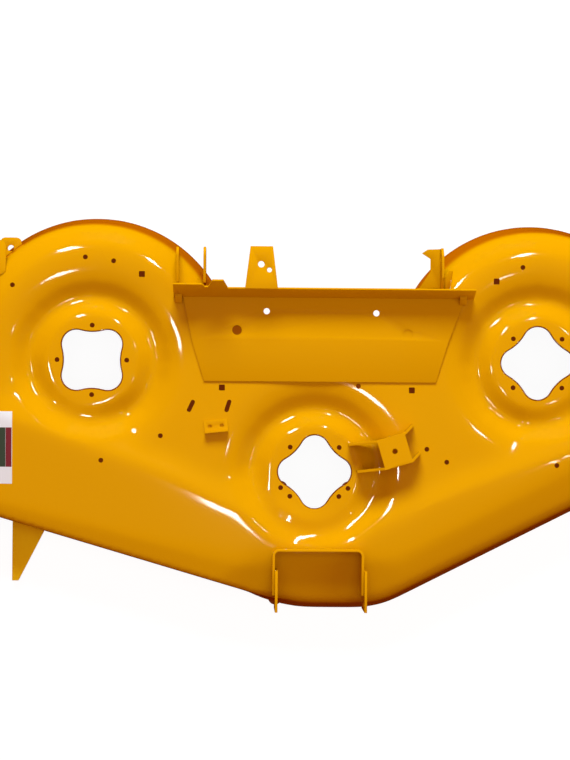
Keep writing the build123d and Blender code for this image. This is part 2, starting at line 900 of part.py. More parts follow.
# Curved baffles hanging from the underside of the shell, in front of the blades
for name, (start, end) in baffle_angles.items():
    x, y = spindles[name]
    with BuildPart() as baffle:
        with BuildSketch(Plane.XY.offset(baffle_foot_z)):
            with BuildLine():
                CenterArc((x, y), lobe_r - baffle_gap, start, end - start)
                offset(amount=sheet, side=Side.LEFT)
            make_face()
        extrude(amount=above_z - baffle_foot_z)
        add(inner_form, mode=Mode.INTERSECT)
    finish_piece(baffle.part, f"{name}_baffle")
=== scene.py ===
import json
import logging
import math
from contextlib import contextmanager
from dataclasses import dataclass
from enum import Enum
from typing import Callable, Iterator

import bmesh
import bpy
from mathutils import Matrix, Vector

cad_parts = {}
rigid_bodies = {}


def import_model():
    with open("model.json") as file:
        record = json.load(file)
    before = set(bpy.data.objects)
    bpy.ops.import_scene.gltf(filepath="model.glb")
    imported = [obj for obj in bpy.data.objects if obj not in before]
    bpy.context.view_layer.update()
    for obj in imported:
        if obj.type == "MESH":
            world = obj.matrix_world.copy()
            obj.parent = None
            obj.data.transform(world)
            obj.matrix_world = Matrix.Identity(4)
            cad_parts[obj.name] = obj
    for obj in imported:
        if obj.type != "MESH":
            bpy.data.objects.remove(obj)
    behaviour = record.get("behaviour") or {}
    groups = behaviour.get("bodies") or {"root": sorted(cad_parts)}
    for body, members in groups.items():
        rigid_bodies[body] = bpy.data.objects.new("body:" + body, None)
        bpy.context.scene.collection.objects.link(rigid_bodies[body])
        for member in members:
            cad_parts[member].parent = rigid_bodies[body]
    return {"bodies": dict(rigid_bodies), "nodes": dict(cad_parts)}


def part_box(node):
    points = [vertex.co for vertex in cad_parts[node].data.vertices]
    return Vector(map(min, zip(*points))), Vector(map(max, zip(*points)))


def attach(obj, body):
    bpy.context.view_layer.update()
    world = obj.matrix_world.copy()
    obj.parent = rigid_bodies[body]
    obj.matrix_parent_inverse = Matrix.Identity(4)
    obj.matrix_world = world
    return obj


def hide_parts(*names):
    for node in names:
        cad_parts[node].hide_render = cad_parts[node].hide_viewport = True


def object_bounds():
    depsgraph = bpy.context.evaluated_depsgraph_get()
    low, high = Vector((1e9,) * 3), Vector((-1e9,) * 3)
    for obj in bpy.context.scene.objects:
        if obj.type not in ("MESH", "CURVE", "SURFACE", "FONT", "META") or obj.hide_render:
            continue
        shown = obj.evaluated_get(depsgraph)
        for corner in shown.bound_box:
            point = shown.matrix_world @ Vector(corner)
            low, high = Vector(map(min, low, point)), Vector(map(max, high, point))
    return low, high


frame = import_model()

log = logging.getLogger("mower_deck")

# One millimetre in scene units, and how close two heights are taken as one
MM = 0.001
NEAR = 0.1 * MM
MERGE = 0.02 * MM

# Where rays start that look for a sheet from above, and where they go
OVERHEAD = 1.0
DOWN = Vector((0, 0, -1))

# The part's only body, and the size of the solids before any dressing
BODY = next(iter(frame["bodies"]))
CAD_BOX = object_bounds()

# A pair of numbers and a triple, as places, sizes and colours are given
Pair = tuple[float, float]
Triple = tuple[float, float, float]

# Name, place, size and power of a lamp
LampRow = tuple[str, Triple, Pair, float]

# Middle across and back, half sizes and linear colour of a printed field
FieldRow = tuple[float, float, float, float, Triple]


class Look(Enum):
    """Finish of a piece of the deck."""

    TOP_ENAMEL = "deck_enamel"
    LABEL_FILM = "label_film"
    BRACKET_ENAMEL = "bracket_enamel"
    # Lighter enamel painted as light on the guard plate, which the shell shades
    GUARD_ENAMEL = "guard_enamel_painted_light"
    # Dark brown painted as the shade in the walls of holes
    CUT_EDGE = "edge_painted_shade"
    # Dark brown painted as the shade seen in a hole
    PLUG_ENAMEL = "hole_painted_shade"


def link(obj: bpy.types.Object) -> bpy.types.Object:
    """Put an object in the scene.

    Args:
        obj: The new object.

    Returns:
        The same object.
    """
    bpy.context.scene.collection.objects.link(obj)
    return obj


def pick_only(obj: bpy.types.Object) -> None:
    """Select one object and make it the active one.

    Args:
        obj: The object that operators will act on.
    """
    bpy.ops.object.select_all(action="DESELECT")
    obj.select_set(True)
    bpy.context.view_layer.objects.active = obj


@contextmanager
def editing(obj: bpy.types.Object) -> Iterator[None]:
    """Edit one object with nothing selected at first.

    Args:
        obj: The mesh object to edit.
    """
    pick_only(obj)
    bpy.ops.object.mode_set(mode="EDIT")
    bpy.ops.mesh.select_mode(type="VERT")
    bpy.ops.mesh.select_all(action="DESELECT")
    yield
    bpy.ops.object.mode_set(mode="OBJECT")


def apply_modifier(obj: bpy.types.Object, kind: str, **settings: object) -> None:
    """Add a modifier with its settings and apply it.

    Args:
        obj: The object to change.
        kind: The modifier's type.
        **settings: The modifier's own settings by name.
    """
    pick_only(obj)
    modifier = obj.modifiers.new(kind.lower(), kind)
    for key, value in settings.items():
        setattr(modifier, key, value)
    bpy.ops.object.modifier_apply(modifier=modifier.name)


def copy_of_node(node: str, name: str) -> bpy.types.Object:
    """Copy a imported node's mesh, with its loose triangles merged.

    Args:
        node: The node's name.
        name: The copy's name.

    Returns:
        The merged copy.
    """
    obj = link(bpy.data.objects.new(name, frame["nodes"][node].data.copy()))
    obj.data.materials.clear()
    with editing(obj):
        bpy.ops.mesh.customdata_custom_splitnormals_clear()
        bpy.ops.mesh.select_all(action="SELECT")
        bpy.ops.mesh.remove_doubles(threshold=MERGE)
    return obj


def select_where(obj: bpy.types.Object, test: Callable[[bmesh.types.BMVert], bool]) -> None:
    """Select the vertices that pass a test, in edit mode.

    Args:
        obj: The object in edit mode.
        test: The test on one vertex.
    """
    mesh = bmesh.from_edit_mesh(obj.data)
    for vertex in mesh.verts:
        vertex.select = test(vertex)
    mesh.select_flush_mode()
    bmesh.update_edit_mesh(obj.data)


def smooth_faces(obj: bpy.types.Object, sharpest: float = 35.0) -> None:
    """Shade a finished piece smooth, but for its sharp bends.

    Args:
        obj: The finished piece.
        sharpest: Sharpest bend that is shaded smooth, in degrees.
    """
    pick_only(obj)
    bpy.ops.object.shade_smooth_by_angle(angle=math.radians(sharpest))


def add_cube(place: Triple, size: Triple) -> bpy.types.Object:
    """Add a block that cuts other pieces.

    Args:
        place: Its middle.
        size: Its length, depth and height.

    Returns:
        The block, with its size in its mesh.
    """
    bpy.ops.object.select_all(action="DESELECT")
    bpy.ops.mesh.primitive_cube_add(size=1, location=place)
    block = bpy.context.object
    block.scale = size
    bpy.ops.object.transform_apply(location=True, scale=True)
    return block


def boundary_loops(obj: bpy.types.Object) -> list[list[int]]:
    """Find the open edge loops of a mesh in edit mode.

    Args:
        obj: The object in edit mode.

    Returns:
        The vertex indices of each loop.
    """
    mesh = bmesh.from_edit_mesh(obj.data)
    mesh.verts.ensure_lookup_table()
    beside: dict[int, list[int]] = {}
    for edge in mesh.edges:
        if edge.is_boundary or edge.is_wire:
            first, second = (vertex.index for vertex in edge.verts)
            beside.setdefault(first, []).append(second)
            beside.setdefault(second, []).append(first)
    loops = []
    left = set(beside)
    while left:
        waiting = [left.pop()]
        loop = []
        while waiting:
            current = waiting.pop()
            loop.append(current)
            for other in beside[current]:
                if other in left:
                    left.remove(other)
                    waiting.append(other)
        loops.append(loop)
    return loops


def width_of(mesh: bmesh.types.BMesh, loop: list[int]) -> float:
    """Measure a loop from left to right.

    Args:
        mesh: The mesh in edit mode, with its lookup table ready.
        loop: The vertex indices of the loop.

    Returns:
        Its width, in metres.
    """
    across = [mesh.verts[i].co.x for i in loop]
    return max(across) - min(across)


@dataclass(frozen=True)
class Finish:
    """A finish with one material, whichever piece has it.

    Args:
        name: The material's name.
    """

    name: str

    def material(self) -> bpy.types.Material:
        """Give the finish's material.

        Returns:
            The material, made once and then reused.
        """
        found = bpy.data.materials.get(self.name)
        if found:
            return found
        made = bpy.data.materials.new(self.name)
        made.use_nodes = True
        self.wire(made.node_tree)
        return made

    def wire(self, tree: bpy.types.NodeTree) -> None:
        """Wire the material's nodes.

        Args:
            tree: The new material's node tree.
        """
        raise NotImplementedError


@dataclass(frozen=True)
class SprayAndSideShade:
    """The marks that a spray gun leaves, as fine steps of gloss, and painted shade on upright
    sheet.

    Args:
        cloud_scale: Fineness of the clouds in the sheen.
        cloud_detail: How ragged the clouds are.
        cloud_swing: How far the roughness swings in them.
        peel_scale: Fineness of the orange peel.
        peel_detail: How ragged the peel is.
        leaning: Upward share of the normal where the painted shade of upright sheet sets in.
        upright: Upward share of the normal where that painted shade is full.
    """

    cloud_scale: float = 9.0
    cloud_detail: float = 3.0
    cloud_swing: float = 0.04
    peel_scale: float = 320.0
    peel_detail: float = 1.0
    leaning: float = 0.5
    upright: float = 0.2

    def group(self) -> bpy.types.NodeTree:
        """Build the node group for sprayed enamel with painted shade on upright sheet.

        It gives upright sheet a darker, redder colour as painted shade, a cloudy sheen and a fine
        orange peel.

        Returns:
            The group, made once and then reused.
        """
        name = "sprayed_enamel_side_shade"
        if name in bpy.data.node_groups:
            return bpy.data.node_groups[name]
        group = bpy.data.node_groups.new(name, "ShaderNodeTree")
        sockets = group.interface
        sockets.new_socket("Place", in_out="INPUT", socket_type="NodeSocketVector")
        sockets.new_socket("Facing Up", in_out="INPUT", socket_type="NodeSocketFloat")
        sockets.new_socket("Colour", in_out="INPUT", socket_type="NodeSocketColor")
        sockets.new_socket("Painted Shade Colour", in_out="INPUT", socket_type="NodeSocketColor")
        sockets.new_socket("Roughness", in_out="INPUT", socket_type="NodeSocketFloat")
        sockets.new_socket("Colour", in_out="OUTPUT", socket_type="NodeSocketColor")
        sockets.new_socket("Roughness", in_out="OUTPUT", socket_type="NodeSocketFloat")
        sockets.new_socket("Peel", in_out="OUTPUT", socket_type="NodeSocketFloat")
        nodes = group.nodes
        wires = group.links
        given = nodes.new("NodeGroupInput")
        result = nodes.new("NodeGroupOutput")
        clouds = nodes.new("ShaderNodeTexNoise")
        clouds.inputs["Scale"].default_value = self.cloud_scale
        clouds.inputs["Detail"].default_value = self.cloud_detail
        blend = nodes.new("ShaderNodeMix")
        blend.data_type = "RGBA"
        wires.new(given.outputs["Place"], clouds.inputs["Vector"])
        flat = nodes.new("ShaderNodeMath")
        flat.operation = "ABSOLUTE"
        # Mask of upright sheet, where the painted shade colour takes over
        side_shade_mask = nodes.new("ShaderNodeMapRange")
        side_shade_mask.inputs["From Min"].default_value = self.leaning
        side_shade_mask.inputs["From Max"].default_value = self.upright
        wires.new(given.outputs["Facing Up"], flat.inputs[0])
        wires.new(flat.outputs["Value"], side_shade_mask.inputs["Value"])
        wires.new(side_shade_mask.outputs["Result"], blend.inputs["Factor"])
        wires.new(given.outputs["Colour"], blend.inputs["A"])
        wires.new(given.outputs["Painted Shade Colour"], blend.inputs["B"])
        wires.new(blend.outputs["Result"], result.inputs["Colour"])
        spread = nodes.new("ShaderNodeMapRange")
        spread.inputs["To Min"].default_value = -self.cloud_swing
        spread.inputs["To Max"].default_value = self.cloud_swing
        total = nodes.new("ShaderNodeMath")
        total.operation = "ADD"
        wires.new(clouds.outputs["Fac"], spread.inputs["Value"])
        wires.new(spread.outputs["Result"], total.inputs[0])
        wires.new(given.outputs["Roughness"], total.inputs[1])
        wires.new(total.outputs["Value"], result.inputs["Roughness"])
        peel = nodes.new("ShaderNodeTexNoise")
        peel.inputs["Scale"].default_value = self.peel_scale
        peel.inputs["Detail"].default_value = self.peel_detail
        wires.new(given.outputs["Place"], peel.inputs["Vector"])
        wires.new(peel.outputs["Fac"], result.inputs["Peel"])
        return group

SPRAY_AND_SHADE = SprayAndSideShade()


@dataclass(frozen=True)
class Enamel(Finish):
    """A glossy baked enamel on steel, with painted shade on its upright faces.

    Args:
        colour: Linear colour of the enamel.
        deep: Linear colour painted on upright sheet as shade, darker and redder than the enamel.
        roughness: Roughness of the colour coat.
        coat: How much clear coat lies over it.
        coat_roughness: Roughness of the clear coat.
        coat_ior: Refractive index of the clear coat.
        peel: Height of the orange peel, in metres.
    """

    colour: Triple
    deep: Triple
    roughness: float = 0.32
    coat: float = 1.0
    coat_roughness: float = 0.06
    coat_ior: float = 1.5
    peel: float = 0.004 * MM

    def wire(self, tree: bpy.types.NodeTree) -> None:
        """Wire the material's nodes.

        Args:
            tree: The new material's node tree.
        """
        nodes = tree.nodes
        wires = tree.links
        shader = nodes["Principled BSDF"]
        shader.inputs["Coat Weight"].default_value = self.coat
        shader.inputs["Coat Roughness"].default_value = self.coat_roughness
        shader.inputs["Coat IOR"].default_value = self.coat_ior
        shader.inputs["Specular IOR Level"].default_value = 0.0
        coords = nodes.new("ShaderNodeTexCoord")
        surface = nodes.new("ShaderNodeNewGeometry")
        facing = nodes.new("ShaderNodeSeparateXYZ")
        coat = nodes.new("ShaderNodeGroup")
        coat.node_tree = SPRAY_AND_SHADE.group()
        coat.inputs["Colour"].default_value = (*self.colour, 1)
        # Painted shade for the upright faces
        coat.inputs["Painted Shade Colour"].default_value = (*self.deep, 1)
        coat.inputs["Roughness"].default_value = self.roughness
        wires.new(coords.outputs["Object"], coat.inputs["Place"])
        wires.new(surface.outputs["Normal"], facing.inputs["Vector"])
        wires.new(facing.outputs["Z"], coat.inputs["Facing Up"])
        wires.new(coat.outputs["Colour"], shader.inputs["Base Color"])
        wires.new(coat.outputs["Roughness"], shader.inputs["Roughness"])
        bump = nodes.new("ShaderNodeBump")
        bump.inputs["Distance"].default_value = self.peel
        wires.new(coat.outputs["Peel"], bump.inputs["Height"])
        wires.new(bump.outputs["Normal"], shader.inputs["Normal"])


def dress(obj: bpy.types.Object, look: Look, *nodes: str) -> bpy.types.Object:
    """Give a finished piece its finish and its place among the nodes.

    Args:
        obj: The finished piece.
        look: The finish it has.
        *nodes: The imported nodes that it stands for.

    Returns:
        The same piece.
    """
    obj.data.materials.clear()
    obj.data.materials.append(FINISHES[look].material())
    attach(obj, BODY)
    if nodes:
        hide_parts(*nodes)
    log.info("%s: %d faces", obj.name, len(obj.data.polygons))
    return obj


@dataclass
class DrawnShell:
    """The deep-drawn shell, with the soft bends that a press leaves.

    Args:
        node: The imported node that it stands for.
        sheet: Thickness of the sheet, in metres.
        cell: Size of the mesh cells, in metres.
        soften: How far each pass softens the bends.
        passes: How often the bends are softened.
        settling: How often they are softened again after the valleys are pressed.
        skin_turn: Sharpest bend inside the outer skin, in degrees.
        seed: A plan point on the middle seat.
        below: How far the skirt runs on under the rim while it is shaped.
        hole_span: Open loops narrower than this are holes.
        small_hole: Holes narrower than this show dark floor.
        cut_reach: How far the punches reach above and below the seats.
        mouth_side: The discharge mouth lies left of this.
        mouth_reach: Length of the block that cuts the mouth.
        slab: Width of the slab that cuts the rim.
        lip: Radius of the lips along the clover holes.
        lip_bend: Sharpest bend on a lip that is shaded smooth, in degrees.
        crisp_from: Left end of the front edge that stays crisp, in plan.
        crisp_to: Right end of that edge.
        crisp_near: Up to here the edge is crisp.
        crisp_far: From here on the bends are fully softened.
        crisp_share: How far the crisp edge softens all the same.
        seats: The centres of the spindle seats, in plan.
        valley: Radius of the valley round each seat.
        valley_press: How much deeper each valley is pressed.
        valley_spread: How wide the press acts.
    """

    node: str = "deck_shell"
    sheet: float = 3.0 * MM
    cell: float = 5.3 * MM
    soften: float = 0.5
    passes: int = 36
    settling: int = 13
    skin_turn: float = 75.0
    seed: Pair = (0.0, 0.078)
    below: float = 30.0 * MM
    hole_span: float = 0.2
    small_hole: float = 30.0 * MM
    cut_reach: float = 40.0 * MM
    mouth_side: float = -0.6
    mouth_reach: float = 72.0 * MM
    slab: float = 3.0
    seats: tuple[Pair, ...] = ((-0.415, 0.205), (0.0, 0.0), (0.415, 0.205))
    lip: float = 1.7 * MM
    lip_bend: float = 60.0
    crisp_from: Pair = (-0.588, -0.080)
    crisp_to: Pair = (-0.123, -0.219)
    crisp_near: float = 15.0 * MM
    crisp_far: float = 60.0 * MM
    crisp_share: float = 0.12
    valley: float = 117.0 * MM
    valley_press: float = 9.0 * MM
    valley_spread: float = 34.0 * MM

    def build(self) -> bpy.types.Object:
        """Shape the shell.

        Returns:
            The finished shell.
        """
        skin = copy_of_node(self.node, "drawn_shell")
        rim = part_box(self.node)[0].z
        self._keep_outer_skin(skin)
        punches = self._punches(skin)
        mouth = self._mouth_box(skin, rim)
        self._close(skin)
        apply_modifier(skin, "REMESH", mode="VOXEL", voxel_size=self.cell)
        soft = self._mark_soft(skin)
        self._soften(skin, self.passes, soft)
        self._press_valleys(skin)
        self._soften(skin, self.settling, soft)
        skin.vertex_groups.clear()
        self._open_below(skin, rim - self.sheet)
        apply_modifier(skin, "SOLIDIFY", thickness=self.sheet, offset=-1.0)
        for cutter in (self._rim_slab(rim), punches, mouth):
            apply_modifier(skin, "BOOLEAN", operation="DIFFERENCE", object=cutter, solver="EXACT")
            bpy.data.objects.remove(cutter)
        smooth_faces(skin)
        return skin

    def small_holes(self) -> list[Vector]:
        """Find the centres of the small holes.

        Returns:
            The middle of each hole narrower than the limit.
        """
        skin = copy_of_node(self.node, "hole_finder")
        self._keep_outer_skin(skin)
        centres = []
        with editing(skin):
            mesh = bmesh.from_edit_mesh(skin.data)
            for loop in self._hole_loops(skin):
                if width_of(mesh, loop) < self.small_hole:
                    points = [mesh.verts[i].co for i in loop]
                    low = Vector([min(along) for along in zip(*points)])
                    high = Vector([max(along) for along in zip(*points)])
                    centres.append((low + high) / 2)
        bpy.data.objects.remove(skin)
        return centres

    def _keep_outer_skin(self, skin: bpy.types.Object) -> None:
        """Delete everything but the outer skin.

        Args:
            skin: The merged copy of the node.
        """
        start = Vector((*self.seed, OVERHEAD))
        hit, _, _, index = skin.ray_cast(start, DOWN)
        if not hit:
            raise RuntimeError("no shell under the seed point")
        with editing(skin):
            bpy.ops.mesh.select_mode(type="FACE")
            mesh = bmesh.from_edit_mesh(skin.data)
            mesh.faces.ensure_lookup_table()
            mesh.faces[index].select = True
            bmesh.update_edit_mesh(skin.data)
            bpy.ops.mesh.faces_select_linked_flat(sharpness=math.radians(self.skin_turn))
            bpy.ops.mesh.select_all(action="INVERT")
            bpy.ops.mesh.delete(type="FACE")
            bpy.ops.mesh.select_mode(type="VERT")

    def _hole_loops(self, skin: bpy.types.Object) -> list[list[int]]:
        """Find the loops of the holes in the top, without the rim.

        Args:
            skin: The outer skin in edit mode.

        Returns:
            The vertex indices of each hole.
        """
        mesh = bmesh.from_edit_mesh(skin.data)
        mesh.verts.ensure_lookup_table()
        return [loop for loop in boundary_loops(skin) if width_of(mesh, loop) < self.hole_span]

    def _hole_outlines(
        self, skin: bpy.types.Object, name: str, narrowest: float = 0.0
    ) -> bpy.types.Object:
        """Copy the outlines of the holes off the skin.

        Args:
            skin: The outer skin, with its holes.
            name: The new object's name.
            narrowest: Width of the narrowest hole to copy, in metres.

        Returns:
            One object with the outlines as bare edges.
        """
        with editing(skin):
            bpy.ops.mesh.select_mode(type="EDGE")
            bpy.ops.mesh.select_all(action="SELECT")
            bpy.ops.mesh.region_to_loop()
            bpy.ops.mesh.duplicate()
            bpy.ops.mesh.separate(type="SELECTED")
        outlines = next(o for o in bpy.context.selected_objects if o != skin)
        outlines.name = name
        with editing(outlines):
            mesh = bmesh.from_edit_mesh(outlines.data)
            wanted = set()
            for loop in self._hole_loops(outlines):
                if width_of(mesh, loop) >= narrowest:
                    wanted.update(loop)
            select_where(outlines, lambda v: v.index not in wanted)
            bpy.ops.mesh.delete(type="VERT")
        return outlines

    def lips(self) -> bpy.types.Object:
        """Shape the rounded lips that run along the edges of the clover holes.

        Returns:
            The lips as one piece.
        """
        skin = copy_of_node(self.node, "lip_finder")
        self._keep_outer_skin(skin)
        lips = self._hole_outlines(skin, "clover_lips", self.small_hole)
        bpy.data.objects.remove(skin)
        with editing(lips):
            bpy.ops.mesh.select_all(action="SELECT")
            bpy.ops.transform.translate(value=(0, 0, -self.sheet / 2))
        pick_only(lips)
        bpy.ops.object.convert(target="CURVE")
        lips = bpy.context.object
        lips.data.bevel_depth = self.lip
        lips.data.bevel_resolution = 3
        bpy.ops.object.convert(target="MESH")
        lips = bpy.context.object
        with editing(lips):
            bpy.ops.mesh.select_all(action="SELECT")
            bpy.ops.mesh.remove_doubles(threshold=MERGE)
            bpy.ops.mesh.normals_make_consistent(inside=False)
        smooth_faces(lips, self.lip_bend)
        return lips

    def _punches(self, skin: bpy.types.Object) -> bpy.types.Object:
        """Shape the punches from the outlines of the holes.

        Args:
            skin: The outer skin, with its holes.

        Returns:
            One object with a prism for each hole.
        """
        level = self.cut_reach
        punches = self._hole_outlines(skin, "punches")
        with editing(punches):
            bpy.ops.mesh.select_all(action="SELECT")
            bpy.ops.transform.resize(value=(1, 1, 0), center_override=(0, 0, level))
            loops = boundary_loops(punches)
            for loop in loops:
                members = set(loop)
                select_where(punches, lambda v: v.index in members)
                bpy.ops.mesh.edge_face_add()
            bpy.ops.mesh.select_all(action="SELECT")
            bpy.ops.mesh.extrude_region_move(
                TRANSFORM_OT_translate={"value": (0, 0, -2 * level)}
            )
            bpy.ops.mesh.select_all(action="SELECT")
            bpy.ops.mesh.normals_make_consistent(inside=False)
        log.info("punches: %d holes", len(loops))
        return punches

    def _mouth_box(self, skin: bpy.types.Object, rim: float) -> bpy.types.Object:
        """Shape a block as wide and high as the discharge mouth.

        Args:
            skin: The outer skin, with its mouth.
            rim: Height of the rim.

        Returns:
            The block.
        """
        with editing(skin):
            mesh = bmesh.from_edit_mesh(skin.data)
            mesh.verts.ensure_lookup_table()
            rest = max(boundary_loops(skin), key=len)
            points = [mesh.verts[i].co.copy() for i in rest]
        top = max(p.z for p in points)
        lintel = [p.y for p in points if p.z > top - NEAR]
        low_y = min(lintel)
        high_y = max(lintel)
        end_x = min(p.x for p in points)
        height = top - rim + self.below
        return add_cube(
            (end_x, (low_y + high_y) / 2, top - height / 2),
            (self.mouth_reach, high_y - low_y, height),
        )

    def _close(self, skin: bpy.types.Object) -> None:
        """Fill the holes and the mouth, and close the skin under the rim.

        Args:
            skin: The outer skin.
        """
        with editing(skin):
            wanted = {i for loop in self._hole_loops(skin) for i in loop}
            select_where(skin, lambda v: v.index in wanted)
            bpy.ops.mesh.fill_holes(sides=0)
            bpy.ops.mesh.select_all(action="DESELECT")
            mesh = bmesh.from_edit_mesh(skin.data)
            rest = {i for loop in boundary_loops(skin) for i in loop}
            mesh.verts.ensure_lookup_table()
            top = max(mesh.verts[i].co.z for i in rest)
            lintel = [mesh.verts[i].co.y for i in rest if mesh.verts[i].co.z > top - NEAR]
            low_y = min(lintel) - NEAR
            high_y = max(lintel) + NEAR
            side = self.mouth_side
            select_where(
                skin,
                lambda v: v.index in rest and v.co.x < side and low_y < v.co.y < high_y,
            )
            bpy.ops.mesh.edge_face_add()
            bpy.ops.mesh.select_all(action="DESELECT")
            bpy.ops.mesh.select_mode(type="EDGE")
            mesh = bmesh.from_edit_mesh(skin.data)
            for edge in mesh.edges:
                edge.select = edge.is_boundary
            bmesh.update_edit_mesh(skin.data)
            bpy.ops.mesh.extrude_region_move(
                TRANSFORM_OT_translate={"value": (0, 0, -self.below)}
            )
            bpy.ops.mesh.edge_face_add()
            bpy.ops.mesh.select_all(action="SELECT")
            bpy.ops.mesh.normals_make_consistent(inside=False)

    def _soften(self, skin: bpy.types.Object, times: int, group: str) -> None:
        """Soften the bends of the closed form.

        Args:
            skin: The closed form.
            times: How often they are softened.
            group: The vertex group that says how far each part softens.
        """
        apply_modifier(
            skin, "SMOOTH", factor=self.soften, iterations=times, vertex_group=group
        )

    def _mark_soft(self, skin: bpy.types.Object) -> str:
        """Mark how far each part of the skin softens, less along the crisp front edge.

        Args:
            skin: The closed form.

        Returns:
            The name of the vertex group with the shares.
        """
        start = Vector(self.crisp_from)
        span = Vector(self.crisp_to) - start
        run = span.normalized()
        inward = Vector((-run.y, run.x))
        group = skin.vertex_groups.new(name="softened")
        for vertex in skin.data.vertices:
            place = vertex.co.xy - start
            beyond = max(place.dot(run) - span.length, 0.0)
            reach = math.hypot(max(place.dot(inward), 0.0), beyond)
            share = (reach - self.crisp_near) / (self.crisp_far - self.crisp_near)
            group.add([vertex.index], min(max(share, self.crisp_share), 1.0), "REPLACE")
        return group.name

    def _press_valleys(self, skin: bpy.types.Object) -> None:
        """Press the valley round each seat a little deeper.

        Args:
            skin: The closed and softened form.
        """
        with editing(skin):
            for seat in self.seats:
                select_where(skin, lambda v: self._in_valley(v.co, seat))
                bpy.ops.transform.translate(
                    value=(0, 0, -self.valley_press),
                    use_proportional_edit=True,
                    proportional_edit_falloff="SMOOTH",
                    proportional_size=self.valley_spread,
                )

    def _in_valley(self, place: Vector, seat: Pair) -> bool:
        """Tell whether a point of the skin lies in the valley round a seat.

        Args:
            place: The point.
            seat: The seat's centre in plan.

        Returns:
            True for the points on the valley's line.
        """
        away = math.hypot(place.x - seat[0], place.y - seat[1])
        return abs(away - self.valley) < self.cell / 2 and place.z > -self.cut_reach

    def _open_below(self, skin: bpy.types.Object, rim: float) -> None:
        """Trim the skirt at the rim and leave the underside open.

        Args:
            skin: The closed and softened form.
            rim: Height of the rim.
        """
        with editing(skin):
            bpy.ops.mesh.select_all(action="SELECT")
            bpy.ops.mesh.bisect(
                plane_co=(0, 0, rim), plane_no=(0, 0, 1), clear_inner=True, use_fill=False
            )

    def _rim_slab(self, rim: float) -> bpy.types.Object:
        """Shape a wide slab that ends at the rim, to cut the lower edge flat.

        Args:
            rim: Height of the rim.

        Returns:
            The slab.
        """
        return add_cube((0, 0, rim - self.below / 2), (self.slab, self.slab, self.below))


@dataclass(frozen=True)
class LabelFilm(Finish):
    """Printed film with plain colour fields and no lettering.

    Args:
        paper: Linear colour of the ground.
        roughness: Roughness of the film.
        fields: Centre, half size and linear colour of each field, in metres.
    """

    paper: Triple = (0.72, 0.85, 0.95)
    roughness: float = 0.4
    fields: tuple[FieldRow, ...] = (
        (-0.5999, 0.0423, 0.0275, 0.0365, (0.03, 0.065, 0.045)),
        (-0.5666, 0.0423, 0.0055, 0.0365, (0.18, 0.018, 0.035)),
    )

    def wire(self, tree: bpy.types.NodeTree) -> None:
        """Wire the material's nodes.

        Args:
            tree: The new material's node tree.
        """
        nodes = tree.nodes
        wires = tree.links
        shader = nodes["Principled BSDF"]
        shader.inputs["Roughness"].default_value = self.roughness
        coords = nodes.new("ShaderNodeTexCoord")
        ground = nodes.new("ShaderNodeRGB")
        ground.outputs["Color"].default_value = (*self.paper, 1)
        last = ground.outputs["Color"]
        for across, back, half_x, half_y, colour in self.fields:
            centred = nodes.new("ShaderNodeMapping")
            centred.vector_type = "TEXTURE"
            centred.inputs["Location"].default_value = (across, back, 0)
            centred.inputs["Scale"].default_value = (half_x, half_y, 1)
            parts = nodes.new("ShaderNodeSeparateXYZ")
            wires.new(coords.outputs["Object"], centred.inputs["Vector"])
            wires.new(centred.outputs["Vector"], parts.inputs["Vector"])
            inside = []
            for axis in ("X", "Y"):
                size = nodes.new("ShaderNodeMath")
                size.operation = "ABSOLUTE"
                within = nodes.new("ShaderNodeMath")
                within.operation = "LESS_THAN"
                within.inputs[1].default_value = 1.0
                wires.new(parts.outputs[axis], size.inputs[0])
                wires.new(size.outputs["Value"], within.inputs[0])
                inside.append(within.outputs["Value"])
            both = nodes.new("ShaderNodeMath")
            both.operation = "MULTIPLY"
            wires.new(inside[0], both.inputs[0])
            wires.new(inside[1], both.inputs[1])
            blend = nodes.new("ShaderNodeMix")
            blend.data_type = "RGBA"
            blend.inputs["B"].default_value = (*colour, 1)
            wires.new(both.outputs["Value"], blend.inputs["Factor"])
            wires.new(last, blend.inputs["A"])
            last = blend.outputs["Result"]
        wires.new(last, shader.inputs["Base Color"])


# The finish that goes with each look. Each enamel's second colour is painted shade on upright
# sheet.
FINISHES: dict[Look, Finish] = {
    Look.TOP_ENAMEL: Enamel(Look.TOP_ENAMEL.value, (0.68, 0.37, 0.0), (0.63, 0.2, 0.0)),
    Look.BRACKET_ENAMEL: Enamel(
        Look.BRACKET_ENAMEL.value, (0.68, 0.37, 0.0), (0.62, 0.30, 0.0)
    ),
    # Dark brown painted as shade, for the hole lips and the land disc
    Look.CUT_EDGE: Enamel(Look.CUT_EDGE.value, (0.20, 0.045, 0.0), (0.20, 0.045, 0.0)),
    # Dark discs painted as the shade seen in a hole
    Look.PLUG_ENAMEL: Enamel(Look.PLUG_ENAMEL.value, (0.27, 0.075, 0.0), (0.16, 0.03, 0.0)),
    # Lighter enamel on the guard plate: painted light, where the shell shades it
    Look.GUARD_ENAMEL: Enamel(
        Look.GUARD_ENAMEL.value, (0.95, 0.68, 0.01), (0.93, 0.66, 0.01), coat=0.0
    ),
    Look.LABEL_FILM: LabelFilm(Look.LABEL_FILM.value),
}


